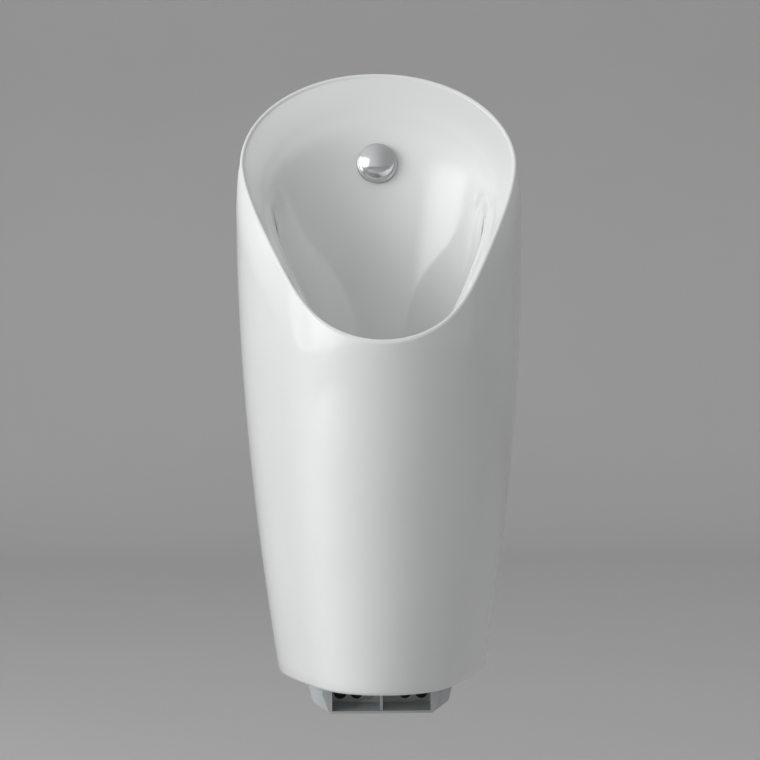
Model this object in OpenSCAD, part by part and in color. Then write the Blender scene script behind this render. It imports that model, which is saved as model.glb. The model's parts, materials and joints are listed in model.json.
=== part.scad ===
// Wall hung urinal: a glazed shell with an inclined oval mouth, hung on two hooks, with the
// flushing valve, battery control and removable trap behind and below the bowl.
// Origin: on the wall plane, midway between the two hanger holes. +Z is up, the front faces -Y.

/* [Shell] */
// Height of the ceramic from its lower edge to the top of the rim
body_h = 690; // [600:5:760]
// Greatest half width of the ceramic
body_half_w = 160; // [140:1:180]
// Half width of the ceramic at its lower edge
foot_half_w = 118; // [105:1:125]
// Depth of the ceramic from the wall to the lip
lip_depth = 357; // [330:1:380]
// Depth of the ceramic from the wall at its lower edge
foot_depth = 284; // [260:1:300]
// Distance from the wall of the widest section under the rim
widest_depth = 150; // [135:1:165]
// Distance from the wall of the widest section at the lower edge
foot_widest_depth = 101; // [90:1:115]
// Height below which the sides draw in
taper_start_h = 500; // [460:5:520]
// Height of the lip above the lower edge
lip_h = 382; // [360:1:400]
// Thickness of the ceramic walls
wall_t = 10; // [8:0.5:12]
// Width of the rounded edge that runs round the mouth
rim_t = 4.5; // [4:0.25:6]
// Greatest half width of the mouth's rim
rim_half_w = 156; // [140:1:158]
// Distance from the wall of the rim's widest part
rim_widest_depth = 131; // [125:1:140]
// Radius of the rounded lower edge
foot_edge_r = 4; // [3:0.5:4.5]

/* [Bowl] */
// Half width of the bowl at the soft crease under the flared band
crease_half_w = 121; // [112:1:126]
// Depth of the bowl's back wall behind the spray head
back_wall_d = 70; // [69:0.5:72]
// Height of the flat ring round the drain above the lower edge
drain_h = 172; // [165:1:185]
// Distance of the drain from the wall
drain_d = 152; // [148:1:158]
// Radius of the drain hole
drain_r = 34; // [32:0.5:36]
// Radius of the flat ring round the drain hole
drain_flat_r = 45; // [44:0.5:48]

/* [Spray head] */
// Height of the spray head above the lower edge
spray_h = 581; // [560:1:600]
// Radius of the chrome cap
cap_r = 21; // [17:0.5:23]
// Distance that the cap stands in front of the ring
cap_rise = 10; // [7:0.5:14]
// Radius of the chrome ring
ring_r = 23.2; // [20:0.2:26]
// Thickness of the chrome ring
ring_t = 4; // [3:0.5:6]
// Radius of the spray body's threaded shank
shank_r = 12; // [10:0.5:13]
// Upward tilt of the spray head in degrees
spray_tilt = 11; // [9:0.5:13]

/* [Wall hangers] */
// Distance between the two hanger holes
hanger_span = 140; // [120:2:160]
// Radius of a hanger hole
hanger_hole_r = 4.5; // [4:0.1:5.5]
// Width of a hanger
hanger_w = 36; // [30:1:40]
// Thickness of the hanger steel
hanger_t = 4; // [3:0.5:5]
// Thickness of the nylon pads on the hooks
hanger_pad_t = 1.5; // [1:0.25:2]

/* [Water supply] */
// Height of the water inlet above the lower edge
inlet_h = 347; // [340:1:352]
// Distance of the water inlet to the left of the middle
inlet_x = 58; // [56:1:64]
// Radius of the inlet's socket for a half inch pipe thread
inlet_bore_r = 9.3; // [9:0.1:9.6]
// Depth of the inlet's socket
inlet_bore_l = 14; // [12:1:16]
// Distance of the valves' middle plane from the wall
valve_d = 40; // [39:1:42]
// Outer radius of the riser pipe
riser_r = 6; // [5:0.5:7]
// Wall thickness of the riser pipe
riser_t = 1.2; // [0.8:0.1:1.5]
// Radius of the valve's chamber
chamber_r = 26; // [25:0.5:28]
// Travel of the solenoid plunger
plunger_travel = 3; // [2:0.5:3.5]

/* [Flush control] */
// Width of the control box
box_w = 62; // [58:0.5:62.5]
// Depth of the control box
box_depth = 56; // [52:1:58]
// Height of the control box
box_h = 134; // [130:1:140]
// Thickness of the plastic walls
case_t = 2.5; // [2:0.25:3]
// Radius of a battery cell
cell_r = 7.15; // [7:0.05:7.25]
// Length of a battery cell
cell_l = 50; // [48:0.5:51]

/* [Trap] */
// Outer radius of the drain sleeve
sleeve_r = 33; // [31:0.5:33.5]
// Outer radius of the trap housing
housing_r = 50; // [48:0.5:52]
// Height of the trap housing's floor above the lower edge
housing_h = 36; // [30:1:40]
// Height of the waste outlet above the lower edge
outlet_h = 96; // [92:1:100]
// Outer radius of the waste pipes
waste_r = 25; // [24:0.5:25]
// Outer radius of the lift-out trap insert
insert_r = 26.5; // [24:0.5:27]
// Thickness of the trap's plastic walls
trap_t = 3; // [2.5:0.25:3.5]

/* [Lower bracket] */
// Distance that the bracket reaches below the ceramic
bracket_drop = 59; // [54:1:64]
// Depth of the bracket's tray from the wall
tray_depth = 45; // [40:1:50]
// Half width of the tray's pocket
tray_half_w = 57.7; // [56:0.1:60]
// Half width of the bracket at the wall
bracket_half_w = 80; // [78:1:82]
// Thickness of the bracket's back plate
bracket_t = 8; // [7:0.5:9]
// Radius of the round entry holes
entry_r = 7.7; // [7:0.1:8]
// Distance of the inner entry holes from the middle
entry_in_x = 28.8; // [28:0.1:30]
// Distance of the outer entry holes from the middle
entry_out_x = 47.9; // [46.5:0.1:48]
// Depth below the ceramic of the entry holes
entry_drop = 40.2; // [39:0.2:42]
// Radius of the bracket's small screw holes
small_hole_r = 2.6; // [2:0.1:3]

/* [Hidden] */

// Columns round the shell and rings along each face
columns = 64;
wall_rings = 20;
roll_rings = 6;
bowl_rings = 22;
under_rings = 13;
inner_rings = 10;

// Shares that shape the outline
back_power = 2.15;
rim_power = 2.03;
corner_power = 6;
corner_reach_share = 0.04;
egg_share = 0.12;
egg_power = 1.38;
side_power = 1.77;
front_power = 1.5;

// Height of the hanger holes above the lower edge of the ceramic
hang_h = 500;
// The rim keeps this distance from the wall at the top
rim_wall_gap = 6;
// The outer wall leans in to the rim over this height
lean_h = 60;

function up(h) = h - hang_h;
function lerp(a, b, t) = a + (b - a) * t;
function share_pow(v, p) = pow(max(v, 0), p);

// The outer shell

mouth_drop = body_h - lip_h;
function mouth_h(d) = body_h - mouth_drop * (d - rim_wall_gap) / (lip_depth - rim_wall_gap);
widest_h = mouth_h(widest_depth);

// Half width at height h: tapered below, constant, then arched over the top
function half_w(h) =
    h < taper_start_h
        ? body_half_w - (body_half_w - foot_half_w) * share_pow(1 - h / taper_start_h, side_power)
        : h < widest_h
            ? body_half_w
            : body_half_w
                * share_pow(1 - share_pow((h - widest_h) / (body_h - widest_h), back_power), 1 / back_power);
function front_d(h) =
    h < lip_h ? lip_depth - (lip_depth - foot_depth) * share_pow(1 - h / lip_h, front_power) : lip_depth;
function station_d(h) =
    h < lip_h
        ? widest_depth - (widest_depth - foot_widest_depth) * share_pow(1 - h / lip_h, front_power)
        : widest_depth;

// Plan position [x share, d] of a column at angle a, 0 at the back and 180 at the front
function egg_dip(a) = egg_share * sin(180 * pow(abs(cos(a)), egg_power));
function front_x_share(a) = sin(a) * (1 - egg_dip(a));
function back_x_share(a) = share_pow(abs(sin(a)), 2 / corner_power);
function side_sign(a) = a > 180 ? -1 : 1;
function outer_pt(a, h, inset) =
    let (
        b = a > 180 ? 360 - a : a,
        w = half_w(h) - inset,
        s = station_d(h),
        f = front_d(h) - inset,
        reach = s * (1 + corner_reach_share),
        x = b < 90 ? w * back_x_share(b) : w * front_x_share(b),
        d = b < 90 ? max(inset, s - reach * share_pow(cos(b), 2 / corner_power)) : s - (f - s) * cos(b)
    )
    [side_sign(a) * x, -d, up(h)];

// The rolled rim round the mouth

rim_r = rim_t / 2;
function rim_pt(a, inset) =
    let (
        b = a > 180 ? 360 - a : a,
        w = rim_half_w - inset,
        near = rim_wall_gap + inset,
        far = lip_depth - inset,
        x = b < 90 ? w * share_pow(sin(b), 2 / rim_power) : w * front_x_share(b),
        d = b < 90
            ? rim_widest_depth - (rim_widest_depth - near) * share_pow(cos(b), 2 / rim_power)
            : rim_widest_depth - (far - rim_widest_depth) * cos(b)
    )
    [side_sign(a) * x, -d, up(mouth_h(d) - rim_r)];
function roll_pt(a, t) =
    lerp(rim_pt(a, 0), rim_pt(a, rim_t), (1 - cos(180 * t)) / 2) + [0, 0, rim_r * sin(180 * t)];

// The outer wall, which leans in over its last stretch to meet the rim
function rim_top(a) = rim_pt(a, 0)[2] + hang_h;
function rim_offset(a) = let (o = rim_pt(a, 0) - outer_pt(a, rim_top(a), 0)) [o[0], o[1], 0];
function wall_pt(a, h, inset) =
    outer_pt(a, h, inset) + rim_offset(a) * share_pow(1 - (rim_top(a) - h) / lean_h, 2);

// The bowl's rings: each [back d, back h, front d, front h, half width, widest share, egg share]

mouth_back = rim_wall_gap + rim_t;
mouth_front = lip_depth - rim_t;
bowl_h = mouth_h(mouth_back) - rim_r - drain_h;
bowl_keys = [
    [mouth_back, mouth_h(mouth_back) - rim_r, mouth_front, mouth_h(mouth_front) - rim_r,
        rim_half_w - rim_t, (rim_widest_depth - mouth_back) / (mouth_front - mouth_back), 1],
    bowl_key(0.570, 0.934, 0.990, 0.400, 0.42, 0.38, 0.9),
    bowl_key(0.857, 0.871, 0.966, 0.378, 0.02, 0.38, 0.8),
    bowl_key(1.157, 0.650, 0.953, 0.290, -0.42, 0.36, 0.5),
    bowl_key(1.257, 0.455, 0.912, 0.180, -0.85, 0.40, 0.3),
    bowl_key(1.420, 0.240, 0.815, 0.082, -1.40, 0.45, 0.1),
    bowl_key(1.520, 0.090, 0.690, 0.030, -1.85, 0.50, 0),
    [drain_d - drain_flat_r, drain_h, drain_d + drain_flat_r, drain_h, drain_flat_r, 0.5, 0]
];
// Back and front places are shares of the back wall's depth, of the mouth's front and of the bowl's
// height. The width share counts band widths outward from the crease.
function bowl_key(back_share, back_h_share, front_share, front_h_share, width_share, widest_share, egg) =
    [back_wall_d * back_share, drain_h + bowl_h * back_h_share, mouth_front * front_share,
        drain_h + bowl_h * front_h_share, crease_half_w + (rim_half_w - rim_t - crease_half_w) * width_share,
        widest_share, egg];
last_key = len(bowl_keys) - 1;
function key_at(i) = bowl_keys[min(max(i, 0), last_key)];
function blend_keys(a, b, c, d, t) =
    (b * 2 + (c - a) * t + (a * 2 - b * 5 + c * 4 - d) * pow(t, 2) + (b * 3 - a - c * 3 + d) * pow(t, 3)) / 2;
function bowl_key_at(v) =
    let (i = min(floor(v), last_key - 1))
    blend_keys(key_at(i - 1), key_at(i), key_at(i + 1), key_at(i + 2), v - i);
function bowl_pt(a, v) =
    let (
        k = bowl_key_at(v),
        b = a > 180 ? 360 - a : a,
        power = lerp(2, rim_power, k[6]),
        x = b < 90 ? k[4] * share_pow(sin(b), 2 / power)
            : k[4] * sin(b) * (1 - k[6] * egg_dip(b)),
        p = b < 90 ? k[5] * (1 - share_pow(cos(b), 2 / power)) : k[5] - (1 - k[5]) * cos(b)
    )
    [side_sign(a) * x, -lerp(k[0], k[2], p), up(lerp(k[1], k[3], p))];

// Underside of the bowl, one wall thickness below its surface
turn_step = 3;
level_step = 0.04;
function unit(v) = v / norm(v);
function bowl_normal(a, v) =
    unit(cross(
        bowl_pt(a, min(v + level_step, last_key)) - bowl_pt(a, v - level_step),
        bowl_pt(turned(a + turn_step), v) - bowl_pt(turned(a - turn_step), v)
    ));
full_turn = 360;
function turned(a) = a < 0 ? a + full_turn : a > full_turn ? a - full_turn : a;
under_first_share = 0.12;
under_span_share = 0.54;
under_power = 1.6;
function under_top(a) =
    last_key * (under_first_share + under_span_share * share_pow((1 - cos(a)) / 2, under_power));
function under_pt(a, v) = bowl_pt(a, v) - wall_t * bowl_normal(a, v);

// Grid of the whole shell: up the outside, over the rim, down the bowl, through the drain hole, back up
// under the bowl, down the inside and round the lower edge

foot_ring = [
    [wall_t - foot_edge_r * 0.3, foot_edge_r * 0.3],
    [wall_t - foot_edge_r, 0],
    [foot_edge_r, 0],
    [foot_edge_r * 0.3, foot_edge_r * 0.3]
];
wall_power = 1.5;
function wall_share(i) = 1 - pow(1 - i / wall_rings, wall_power);
function drain_pt(a, r, h) = [r * sin(a), r * cos(a) - drain_d, up(h)];
function shell_rings(a) = concat(
    [for (i = [0:wall_rings - 1]) wall_pt(a, lerp(foot_edge_r, rim_top(a), wall_share(i)), 0)],
    [for (i = [0:roll_rings - 1]) roll_pt(a, i / roll_rings)],
    [for (i = [0:bowl_rings]) bowl_pt(a, last_key * i / bowl_rings)],
    [drain_pt(a, drain_r, drain_h), drain_pt(a, drain_r, drain_h - wall_t)],
    [for (i = [0:under_rings]) under_pt(a, lerp(last_key, under_top(a), i / under_rings))],
    [for (i = [0:inner_rings])
        wall_pt(a, lerp(under_pt(a, under_top(a))[2] + hang_h, foot_edge_r, i / inner_rings), wall_t)],
    [for (f = foot_ring) outer_pt(a, f[1], f[0])]
);
shell_grid = [for (c = [0:columns - 1]) shell_rings(360 * c / columns)];
ring_count = len(shell_grid[0]);
function grid_index(c, r) = (c % columns) * ring_count + r % ring_count;
module shell_solid() {
    polyhedron(
        points = [for (column = shell_grid) for (p = column) p],
        faces = [
            for (c = [0:columns - 1])
                for (r = [0:ring_count - 1])
                    for (corner = [0, 1])
                        corner == 0
                            ? [grid_index(c, r), grid_index(c + 1, r), grid_index(c, r + 1)]
                            : [grid_index(c + 1, r), grid_index(c + 1, r + 1), grid_index(c, r + 1)]
        ]
    );
}

// Small shared values

$fn = 48;
overrun = 2;
seat_gap = 0.3;
slide_gap = 0.3;
run_gap = 0.05;
screw_gap = 0.4;
hex = 6;

// Placing: x to the right, d away from the wall, h above the lower edge of the ceramic
module at(x, d, h) translate([x, -d, up(h)]) children();
module rod_y(x, h, d0, d1, r) at(x, d0, h) rotate([90, 0, 0]) cylinder(r = r, h = d1 - d0);
module rod_z(x, d, h0, h1, r) at(x, d, h0) cylinder(r = r, h = h1 - h0);
module rod_x(x0, x1, d, h, r) at(x0, d, h) rotate([0, 90, 0]) cylinder(r = r, h = x1 - x0);
module hex_z(x, d, h0, h1, r) at(x, d, h0) cylinder(r = r, h = h1 - h0, $fn = hex);
module block(x0, x1, d0, d1, h0, h1) at(x0, d1, h0) cube([x1 - x0, d1 - d0, h1 - h0]);
module both_sides() for (side = [0, 1]) mirror([side, 0, 0]) children();
// A ring about an upright axis, and one about an axis square to the wall
module ring_z(x, d, h0, h1, r_in, r_out)
    difference() {
        rod_z(x, d, h0, h1, r_out);
        rod_z(x, d, h0 - overrun, h1 + overrun, r_in);
    }
module ring_y(x, h, d0, d1, r_in, r_out)
    difference() {
        rod_y(x, h, d0, d1, r_out);
        rod_y(x, h, d0 - overrun, d1 + overrun, r_in);
    }
// A flat outline in x and h, pushed out from depth d0 to d1
module slab(d0, d1)
    translate([0, -d0, 0]) rotate([90, 0, 0]) linear_extrude(d1 - d0) translate([0, -hang_h]) children();

// Spray head: everything turns with its tilt about the seat in the bowl's back wall

seat_recess = 1.5;
spray_seat_d = back_wall_d - seat_recess;
seat_recess_r = ring_r + screw_gap;
gasket_t = 1;
gasket_r = ring_r - 2 * gasket_t;
spray_wall_t = 8;
shank_back_l = 22;
shank_front_l = 6;
spray_bore_r = 8;
slit_h = 1.2;
nut_t = 6;
nut_r = 19;
washer_t = 1.5;
elbow_r = 15.5;
elbow_reach = 12;
elbow_leg_r = 10;
ring_lip_share = 0.55;
module spray_frame()
    at(0, spray_seat_d, spray_h) rotate([90 - spray_tilt, 0, 0]) children();
// Around the spray axis z runs out of the bowl's wall, with the ring's seat at 0
module spray_disc(z0, z1, r) translate([0, 0, z0]) cylinder(r = r, h = z1 - z0);
module spray_washer_form(z0, z1, r_in, r_out)
    difference() {
        spray_disc(z0, z1, r_out);
        spray_disc(z0 - overrun, z1 + overrun, r_in);
    }
ring_front = gasket_t + ring_t;
cap_base = ring_front + slit_h;

module spray_ring() color("silver") spray_frame()
    rotate_extrude() polygon([
        [shank_r + screw_gap, gasket_t],
        [ring_r, gasket_t],
        [ring_r, gasket_t + ring_t * ring_lip_share],
        for (i = [0:hex]) [
            ring_r - ring_t * (1 - ring_lip_share) * (1 - cos(90 * i / hex)),
            gasket_t + ring_t * ring_lip_share + ring_t * (1 - ring_lip_share) * sin(90 * i / hex)
        ],
        [shank_r + screw_gap, ring_front]
    ]);
cap_skirt = 3;
cap_edge_r = 2;
cap_crown = cap_rise - cap_skirt;
cap_sphere_r = (pow(cap_r - cap_edge_r, 2) + pow(cap_crown, 2)) / (2 * cap_crown);
cap_steps = 16;
cap_arc = asin((cap_r - cap_edge_r) / cap_sphere_r);
module spray_cap() color("silver") spray_frame() union() {
    translate([0, 0, cap_base]) rotate_extrude() polygon([
        [0, 0],
        [cap_r - cap_edge_r / 2, 0],
        [cap_r, cap_edge_r / 2],
        [cap_r, cap_skirt - cap_edge_r / 2],
        for (i = [0:cap_steps])
            [cap_sphere_r * sin(cap_arc * (1 - i / cap_steps)),
                cap_rise - cap_sphere_r * (1 - cos(cap_arc * (1 - i / cap_steps)))]
    ]);
    spray_disc(shank_front_l - overrun, cap_base + overrun, spray_bore_r - run_gap);
}
module spray_gasket() color("dimgray") spray_frame()
    spray_washer_form(0, gasket_t, shank_r + screw_gap, gasket_r);
module spray_body() color("gainsboro") spray_frame() difference() {
    spray_disc(-shank_back_l - spray_wall_t, shank_front_l, shank_r);
    spray_disc(-shank_back_l - spray_wall_t - overrun, shank_front_l + overrun, spray_bore_r);
}
module spray_washer() color("dimgray") spray_frame()
    spray_washer_form(-spray_wall_t - washer_t, -spray_wall_t, shank_r + screw_gap, nut_r);
module spray_nut() color("whitesmoke") spray_frame() difference() {
    translate([0, 0, -spray_wall_t - washer_t - nut_t]) cylinder(r = nut_r, h = nut_t, $fn = hex);
    spray_disc(-spray_wall_t - washer_t - nut_t - overrun, 0, shank_r + run_gap);
}

// Supply elbow under the spray body, riser pipe and valve block, all in the plane valve_d

elbow_front = -spray_wall_t - 3 * washer_t - nut_t;
elbow_back = valve_d - elbow_leg_r - spray_seat_d;
elbow_drop = (spray_seat_d - valve_d) * tan(spray_tilt);
riser_top_h = spray_h - elbow_drop - elbow_r - 4 * washer_t;
elbow_leg_h = riser_top_h - elbow_reach;
module inlet_elbow() color("whitesmoke") difference() {
    union() {
        spray_frame() spray_disc(elbow_back, elbow_front, elbow_r);
        rod_z(0, valve_d, elbow_leg_h, spray_h - elbow_drop, elbow_leg_r);
    }
    spray_frame() spray_disc(-shank_back_l - spray_wall_t - seat_gap, 0, shank_r + slide_gap);
    rod_z(0, valve_d, riser_top_h, spray_h - elbow_drop, riser_r - riser_t);
    rod_z(0, valve_d, elbow_leg_h - overrun, riser_top_h, riser_r + run_gap);
}

bonnet_t = 6;
chamber_h = 18;
valve_floor = inlet_h - chamber_h / 2;
cavity_r = 17;
cavity_h = 8;
outlet_boss_h = 22;
boss_r = 8.9;
boss_end_x = chamber_r + 4 * overrun;
waterway_r = 6;
saddle_w = 20;
valve_top = valve_floor + chamber_h;
riser_foot_h = valve_top + outlet_boss_h - elbow_reach;

module riser_pipe() color("silver") difference() {
    rod_z(0, valve_d, riser_foot_h, riser_top_h, riser_r);
    rod_z(0, valve_d, riser_foot_h - overrun, riser_top_h + overrun, riser_r - riser_t);
}

bonnet_screw_r = 2;
bonnet_screw_head_r = 3.4;
bonnet_screw_head_h = 3;
bonnet_screw_circle = chamber_r - bonnet_screw_head_r - screw_gap;
bonnet_screw_l = 10;
module bonnet_screw_places() for (a = [45:90:315])
    at(0, valve_d, 0) rotate([0, 0, a]) translate([bonnet_screw_circle, 0, 0]) children();
module valve_body() color("goldenrod") difference() {
    union() {
        rod_z(0, valve_d, valve_floor, valve_top, chamber_r);
        rod_z(0, valve_d, valve_top, valve_top + outlet_boss_h, boss_r);
        rod_x(-boss_end_x, 0, valve_d, inlet_h, boss_r);
    }
    rod_z(0, valve_d, valve_floor - overrun, valve_floor + cavity_h, cavity_r);
    rod_z(0, valve_d, valve_floor, riser_foot_h + overrun, riser_r - riser_t);
    rod_z(0, valve_d, riser_foot_h, valve_top + outlet_boss_h + overrun, riser_r + run_gap);
    rod_x(-boss_end_x - overrun, -cavity_r + overrun, valve_d, inlet_h, waterway_r);
    bonnet_screw_places() translate([0, 0, valve_floor - overrun])
        cylinder(r = bonnet_screw_r + run_gap, h = bonnet_screw_l + overrun);
}
diaphragm_t = 2;
diaphragm_gap = 2.5;
module diaphragm() color("black")
    union() {
        rod_z(0, valve_d, valve_floor + diaphragm_gap, valve_floor + diaphragm_gap + diaphragm_t,
            cavity_r - run_gap);
        rod_z(0, valve_d, valve_floor + diaphragm_gap, valve_floor + cavity_h - seat_gap, riser_r + riser_t);
    }
core_r = 6;
core_t = 0.9;
core_l = 42;
plunger_r = core_r - core_t - run_gap;
plunger_l = 28;
core_floor = valve_floor - bonnet_t - core_l;
plunger_top = valve_floor + diaphragm_gap - seat_gap;
plunger_low = plunger_top - plunger_l;
spring_r = 3.6;
spring_wire_r = 0.4;
pole_top = plunger_low - plunger_travel - run_gap;
pole_in_r = spring_r + spring_wire_r + screw_gap / 2;
module valve_bonnet() color("gainsboro") difference() {
    union() {
        rod_z(0, valve_d, valve_floor - bonnet_t, valve_floor, chamber_r);
        rod_z(0, valve_d, core_floor - core_t, valve_floor, core_r);
    }
    rod_z(0, valve_d, core_floor, valve_floor, pole_in_r);
    rod_z(0, valve_d, pole_top, valve_floor + overrun, core_r - core_t);
    bonnet_screw_places() translate([0, 0, valve_floor - bonnet_t - overrun])
        cylinder(r = bonnet_screw_r + run_gap, h = bonnet_t + 2 * overrun);
}
module bonnet_screws() color("silver") bonnet_screw_places() union() {
    translate([0, 0, valve_floor - bonnet_t - bonnet_screw_head_h])
        cylinder(r = bonnet_screw_head_r, h = bonnet_screw_head_h);
    translate([0, 0, valve_floor - bonnet_t])
        cylinder(r = bonnet_screw_r, h = bonnet_screw_l + bonnet_t - seat_gap);
}
module solenoid_plunger() color("darkgray") rod_z(0, valve_d, plunger_low, plunger_top, plunger_r);

// The spring winds from the core tube's floor to the plunger
spring_turns = 7;
spring_turn_steps = 10;
spring_sides = 5;
spring_steps = spring_turns * spring_turn_steps;
spring_low = core_floor + spring_wire_r + run_gap;
spring_high = plunger_low - spring_wire_r - run_gap;
function spring_pt(i, j) =
    let (
        a = 360 * i / spring_turn_steps,
        b = 360 * j / spring_sides,
        r = spring_r + spring_wire_r * cos(b)
    )
    [
        r * cos(a),
        r * sin(a) - valve_d,
        up(lerp(spring_low, spring_high, i / spring_steps)) + spring_wire_r * sin(b)
    ];
module plunger_spring() color("lightgray") polyhedron(
    points = [for (i = [0:spring_steps]) for (j = [0:spring_sides - 1]) spring_pt(i, j)],
    faces = concat(
        [[for (j = [0:spring_sides - 1]) j]],
        [for (i = [0:spring_steps - 1]) for (j = [0:spring_sides - 1]) for (corner = [0, 1])
            let (
                a = i * spring_sides + j,
                b = i * spring_sides + (j + 1) % spring_sides,
                c = a + spring_sides,
                d = b + spring_sides
            )
            corner == 0 ? [a, c, b] : [b, c, d]],
        [[for (j = [spring_sides - 1:-1:0]) spring_steps * spring_sides + j]]
    )
);

coil_r = 16;
coil_nut_h = 5;
coil_nut_r = 11;
plug_half = 8;
box_x = 32;
module solenoid_coil() color("dimgray") difference() {
    union() {
        rod_z(0, valve_d, core_floor + coil_nut_h, valve_floor - bonnet_t, coil_r);
        block(coil_r - overrun * 2, box_x, valve_d - plug_half, valve_d + plug_half,
            core_floor + 2 * coil_nut_h, core_floor + 2 * coil_nut_h + 2 * plug_half);
    }
    rod_z(0, valve_d, core_floor, valve_floor, core_r + run_gap);
}
module coil_nut() color("silver") difference() {
    hex_z(0, valve_d, core_floor - core_t, core_floor + coil_nut_h, coil_nut_r);
    rod_z(0, valve_d, core_floor - overrun, core_floor + coil_nut_h + overrun, core_r + run_gap);
}

// Stop valve: an angled ball valve that turns a quarter turn, worked from below
ball_r = 11;
ball_gap = 0.3;
port_r = 6;
stop_r = 15;
stop_below = 20;
stop_above = 14;
stem_r = 5;
stem_head_r = 8;
stem_head_l = 6;
stem_seal_h = 3;
stem_seal_r = 7.5;
tang_w = 3;
tang_l = 8;
tang_h = 2.6;
inlet_boss_r = 13;
wall_gap = 0.5;
slot_w = 1.6;
slot_deep = 2;
washer_x = boss_end_x;
union_r = 15;
union_reach = 7;
module stop_valve_body() color("goldenrod") difference() {
    union() {
        rod_y(-inlet_x, inlet_h, wall_gap, valve_d, inlet_boss_r);
        rod_z(-inlet_x, valve_d, inlet_h - stop_below, inlet_h + stop_above, stop_r);
        rod_x(-inlet_x, -washer_x - washer_t, valve_d, inlet_h, boss_r);
    }
    rod_y(-inlet_x, inlet_h, wall_gap - overrun, wall_gap + inlet_bore_l, inlet_bore_r);
    rod_y(-inlet_x, inlet_h, wall_gap, filter_d + filter_rim + run_gap, filter_r + run_gap);
    rod_y(-inlet_x, inlet_h, wall_gap, valve_d - ball_r / 2, port_r);
    at(-inlet_x, valve_d, inlet_h) sphere(r = ball_r + ball_gap);
    rod_x(-inlet_x, -washer_x, valve_d, inlet_h, port_r);
    rod_z(-inlet_x, valve_d, inlet_h - stop_below - overrun, inlet_h, stem_r + run_gap);
    rod_z(-inlet_x, valve_d, inlet_h - stop_below - overrun, inlet_h - stop_below + stem_seal_h, stem_seal_r);
}
module stop_valve_ball() color("silver") difference() {
    at(-inlet_x, valve_d, inlet_h) sphere(r = ball_r);
    rod_y(-inlet_x, inlet_h, valve_d - ball_r - overrun, valve_d, port_r);
    rod_x(-inlet_x, -inlet_x + ball_r + overrun, valve_d, inlet_h, port_r);
    at(-inlet_x, valve_d, inlet_h) sphere(r = port_r);
    block(-inlet_x - tang_w / 2 - run_gap, -inlet_x + tang_w / 2 + run_gap, valve_d - tang_l / 2 - run_gap,
        valve_d + tang_l / 2 + run_gap, inlet_h - ball_r - overrun, inlet_h - ball_r + tang_h);
}
stem_head_low = inlet_h - stop_below - stem_head_l;
module stop_valve_stem() color("silver") difference() {
    union() {
        rod_z(-inlet_x, valve_d, stem_head_low, inlet_h - ball_r - ball_gap, stem_r);
        rod_z(-inlet_x, valve_d, stem_head_low, inlet_h - stop_below - ball_gap, stem_head_r);
        block(-inlet_x - tang_w / 2, -inlet_x + tang_w / 2, valve_d - tang_l / 2, valve_d + tang_l / 2,
            inlet_h - ball_r - overrun, inlet_h - ball_r + tang_h - ball_gap);
    }
    block(-inlet_x - stem_head_r - overrun, -inlet_x + stem_head_r + overrun,
        valve_d - slot_w / 2, valve_d + slot_w / 2, stem_head_low - overrun, stem_head_low + slot_deep);
}
module stem_seal() color("black")
    ring_z(-inlet_x, valve_d, inlet_h - stop_below + run_gap, inlet_h - stop_below + stem_seal_h,
        stem_r + run_gap, stem_seal_r);
filter_r = 7.6;
filter_rim = 1.5;
filter_l = 8;
filter_slots = 8;
filter_t = 0.8;
filter_d = wall_gap + inlet_bore_l;
module inlet_filter() color("silver") difference() {
    union() {
        rod_y(-inlet_x, inlet_h, filter_d, filter_d + filter_rim, filter_r);
        rod_y(-inlet_x, inlet_h, filter_d, filter_d + filter_l, port_r - run_gap);
    }
    rod_y(-inlet_x, inlet_h, filter_d - overrun, filter_d + filter_l - filter_t, port_r - filter_t);
    for (a = [0:filter_slots - 1])
        at(-inlet_x, 0, inlet_h) rotate([90, 0, 0]) rotate([0, 0, 360 * a / filter_slots])
            translate([port_r / 2, 0, filter_d + filter_rim]) cylinder(r = filter_t, h = filter_l);
}
module union_washer() color("black") difference() {
    rod_x(-washer_x - washer_t, -washer_x, valve_d, inlet_h, boss_r);
    rod_x(-washer_x - washer_t - overrun, -washer_x + overrun, valve_d, inlet_h, port_r);
}
module union_nut() color("gold") difference() {
    at(-washer_x - union_reach, valve_d, inlet_h) rotate([0, 90, 0])
        cylinder(r = union_r, h = 2 * union_reach - washer_t, $fn = hex);
    rod_x(-washer_x - union_reach - overrun, -washer_x + union_reach, valve_d, inlet_h, boss_r + run_gap);
}

// Mounting plate on the wall, which carries the valves, the control box and the sensor
plate_t = 2;
plate_x = 97;
plate_low = 131;
plate_high = 440;
flange_depth = 9;
saddle_low = valve_floor + overrun / 2;
plate_hole_r = 3.5;
plate_hole_x = 60;
plate_hole_in = 12;
module mounting_plate() color("lightgray") difference() {
    union() {
        block(-plate_x, plate_x, 0, plate_t, plate_low, plate_high);
        both_sides() block(plate_x - plate_t, plate_x, 0, flange_depth, plate_low, plate_high);
        block(-plate_x, plate_x, 0, flange_depth, plate_high - plate_t, plate_high);
        block(-saddle_w / 2, saddle_w / 2, 0, valve_d - boss_r, saddle_low, valve_top);
    }
    rod_z(0, valve_d, saddle_low - overrun, valve_top + overrun, chamber_r + seat_gap);
    rod_y(-inlet_x, inlet_h, -overrun, flange_depth, inlet_boss_r + seat_gap);
    both_sides() rod_y(plate_hole_x, plate_high - plate_hole_in, -overrun, flange_depth, plate_hole_r);
}

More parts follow.
